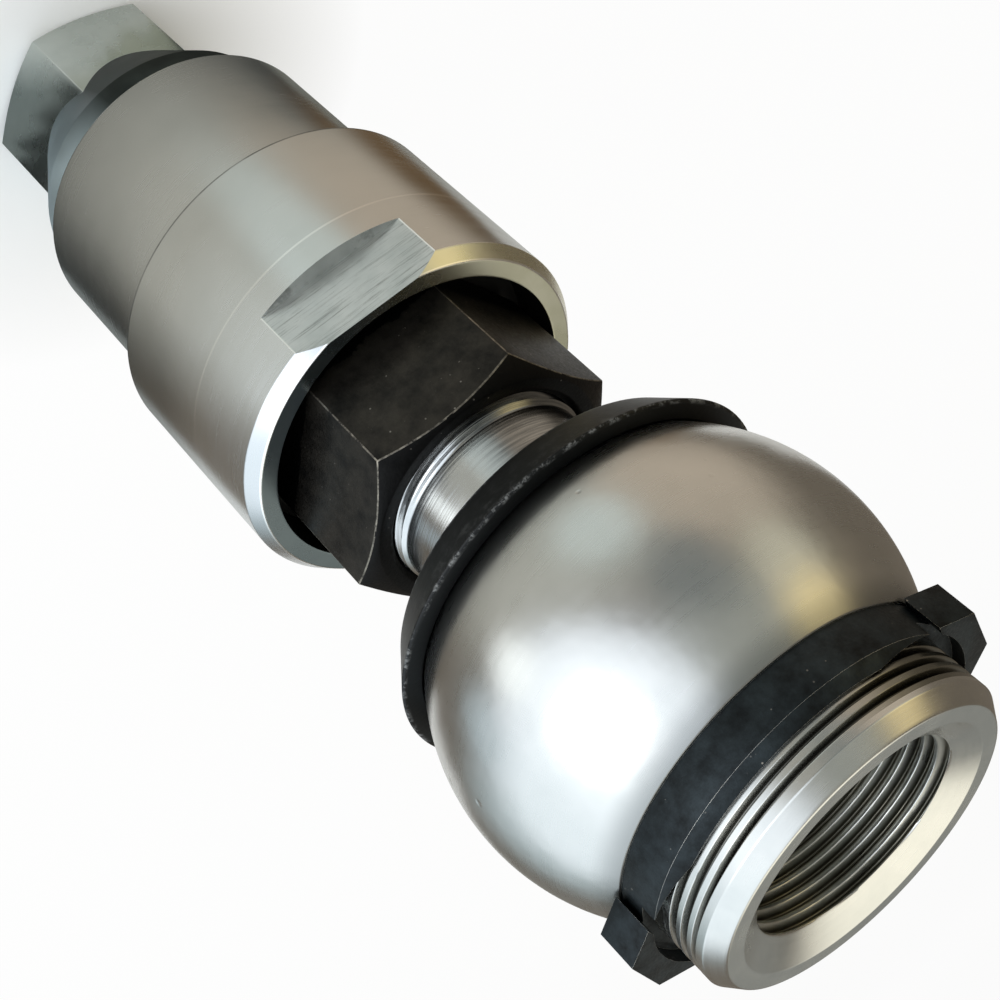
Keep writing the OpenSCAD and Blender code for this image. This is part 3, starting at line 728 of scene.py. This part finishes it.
# World: pale all round, brighter to the camera and in the metal than as light
world = bpy.data.worlds.new("studio")
bpy.context.scene.world = world
world.use_nodes = True
t = world.node_tree
t.nodes.clear()
path = put(t, "ShaderNodeLightPath")
seen = put(t, "ShaderNodeMath", {0: path.outputs["Is Camera Ray"], 1: path.outputs["Is Glossy Ray"]},
           operation="MAXIMUM")
level = put(t, "ShaderNodeMapRange", {0: seen, 3: 0.5, 4: 0.95})
sky = put(t, "ShaderNodeBackground", {"Color": tint("f6f6f4"), "Strength": level})
put(t, "ShaderNodeOutputWorld", {0: sky})


def toward(direction):
    """A unit vector in the frame, from a direction in the camera's own right, down and ahead."""
    return (RIGHT * direction[0] + DOWN * direction[1] + AHEAD * direction[2]).normalized()


# A tent of painted cards stands round the part, out of the camera's view, and is what the steel shows
PANELS = (  # direction in right, down, ahead; inner and outer angle; colour; strength
    ((-0.62, -0.72, 0.00), 25, 62, "c8c9c1", 1.00),
    ((0.15, -0.98, 0.00), 14, 38, "cfc2b1", 1.00),
    ((0.35, -0.25, -0.90), 22, 42, "b0b4ae", 0.92),
    ((0.08, -0.71, -0.70), 10, 23, "8a9090", 0.90),
    ((-0.445, -0.846, -0.30), 9, 21, "d6e0de", 1.18),
    ((-0.48, 0.80, 0.22), 12, 33, "c4d6dc", 0.90),
    ((-0.90, 0.42, 0.05), 6, 18, "ccdde6", 1.00),
    ((-0.50, 0.42, -0.76), 38, 54, "ecf5ff", 1.65),
    ((-0.45, 0.85, -0.25), 26, 42, "e8f3fc", 1.65),
    ((-0.955, 0.02, -0.29), 5, 13, "f4fafc", 2.00),
    ((0.64, 0.64, 0.43), 12, 30, "a6a8a4", 0.75),
    ((0.62, 0.68, -0.22), 17, 36, "fbf8ea", 1.55),
    ((0.66, -0.68, -0.32), 8, 22, "e0dcc8", 1.00),
    ((0.84, -0.37, -0.40), 6, 20, "f2dea8", 1.40),
)
SPOTS = (  # place on the floor near the foot; inner and outer radius; colour; strength
    (LIT_AT, 0.018, 0.030, "b6b8a8", 0.85),
    (GLEAM_AT, 0.004, 0.009, "f4f8fa", 1.20),
    ((-0.135, 0.030, 0.0), 0.025, 0.075, "8a6c48", 0.55),
)
cards, t = bare_material("painted_cards")
c = spot(t)
way = put(t, "ShaderNodeVectorMath", {0: c, 1: tuple(MIDDLE)}, operation="SUBTRACT")
way = put(t, "ShaderNodeVectorMath", {0: way}, operation="NORMALIZE")
colour = [x * 0.8 for x in tint("7f766a")]
for direction, inner, outer, code, strength in PANELS:
    share = put(t, "ShaderNodeVectorMath", {0: way, 1: tuple(toward(direction))}, operation="DOT_PRODUCT")
    share = put(t, "ShaderNodeMapRange", {0: share, 1: math.cos(math.radians(outer)),
                                          2: math.cos(math.radians(inner))},
                interpolation_type="SMOOTHSTEP")
    colour = overlaid(t, colour, [x * strength for x in tint(code)[:3]] + [1], share)
# The cards darken towards the foot, where the part keeps the light off them
reach = put(t, "ShaderNodeVectorMath", {0: c}, operation="LENGTH")
shade = put(t, "ShaderNodeMapRange", {0: reach, 1: 0.04, 2: 0.085, 3: 1.0, 4: 0.0})
colour = overlaid(t, colour, tint("3c4040"), shade)
# Close behind the part, as the camera sees it, they are darker still, which darkens the sides of the sleeve
back = put(t, "ShaderNodeVectorMath", {0: c, 1: (-0.233, 0.972, 0)}, operation="DOT_PRODUCT")
back = put(t, "ShaderNodeMapRange", {0: back, 1: -0.118, 2: 0.022, 3: 0.0, 4: 0.92})
close = put(t, "ShaderNodeMapRange", {0: reach, 1: 0.095, 2: 0.135, 3: 1.0, 4: 0.0})
colour = overlaid(t, colour, tint("2e3233"), back, close)
for place, inner, outer, code, strength in SPOTS:
    share = put(t, "ShaderNodeVectorMath", {0: c, 1: place}, operation="DISTANCE")
    share = put(t, "ShaderNodeMapRange", {0: share, 1: inner, 2: outer, 3: 1.0, 4: 0.0},
                interpolation_type="SMOOTHSTEP")
    colour = overlaid(t, colour, [x * strength for x in tint(code)[:3]] + [1], share)
glow = put(t, "ShaderNodeEmission", {"Color": colour})
put(t, "ShaderNodeOutputMaterial", {0: glow})
cards.cycles.emission_sampling = "NONE"
floor_mat.cycles.emission_sampling = "NONE"

# Half the photo's width over the camera's focal length, both in pixels, and a small margin
HALF_VIEW = 500 / 1723 + 0.006


def in_view(p):
    """Whether the photo's camera looks at this place."""
    v = p - camera.matrix_world.translation
    ahead = v.dot(AHEAD)
    return ahead > 0 and max(abs(v.dot(RIGHT)), abs(v.dot(DOWN))) < ahead * HALF_VIEW


dome = added("tent_dome", bpy.ops.mesh.primitive_uv_sphere_add, segments=64, ring_count=32, radius=1.3,
             location=(0, 0, 0))
bpy.ops.object.mode_set(mode="EDIT")
bpy.ops.mesh.select_all(action="SELECT")
bpy.ops.mesh.bisect(plane_co=(0, 0, 0.002), plane_no=(0, 0, 1), clear_inner=True)
bpy.ops.object.mode_set(mode="OBJECT")
near_floor, far_floor = (
    added(name, bpy.ops.mesh.primitive_grid_add, x_subdivisions=80, y_subdivisions=80, size=wide,
          location=(0, 0, 0.0006)) for name, wide in (("tent_near_floor", 0.32), ("tent_far_floor", 2.56)))
for card in (dome, near_floor, far_floor):
    only(card)
    bpy.ops.object.mode_set(mode="EDIT")
    bpy.ops.mesh.select_all(action="DESELECT")
    bpy.ops.mesh.select_mode(type="FACE")
    bpy.ops.object.mode_set(mode="OBJECT")
    me = card.data
    for f in me.polygons:
        under = card is near_floor and math.hypot(f.center.x, f.center.y) < 0.024
        doubled = card is far_floor and max(abs(f.center.x), abs(f.center.y)) < 0.16
        f.select = under or doubled or any(in_view(me.vertices[i].co) for i in f.vertices)
    bpy.ops.object.mode_set(mode="EDIT")
    bpy.ops.mesh.delete(type="FACE")
    bpy.ops.object.mode_set(mode="OBJECT")
    me.materials.append(cards)
    card.visible_camera = False
    card.visible_shadow = False
    card.visible_diffuse = card is dome

# One weak window-shaped lamp gives the soft shadow
window = bpy.data.lights.new("key_window", "AREA")
window.shape, window.size, window.size_y, window.energy = "RECTANGLE", 0.5, 0.5, 2.0
lamp = bpy.data.objects.new("key_window", window)
bpy.context.scene.collection.objects.link(lamp)
lamp_way = toward((-0.55, 0.35, -0.76))
lamp_turn = lamp_way.to_track_quat("Z", "Y").to_matrix().to_4x4()
lamp.matrix_world = Matrix.Translation(MIDDLE + lamp_way * 0.9) @ lamp_turn
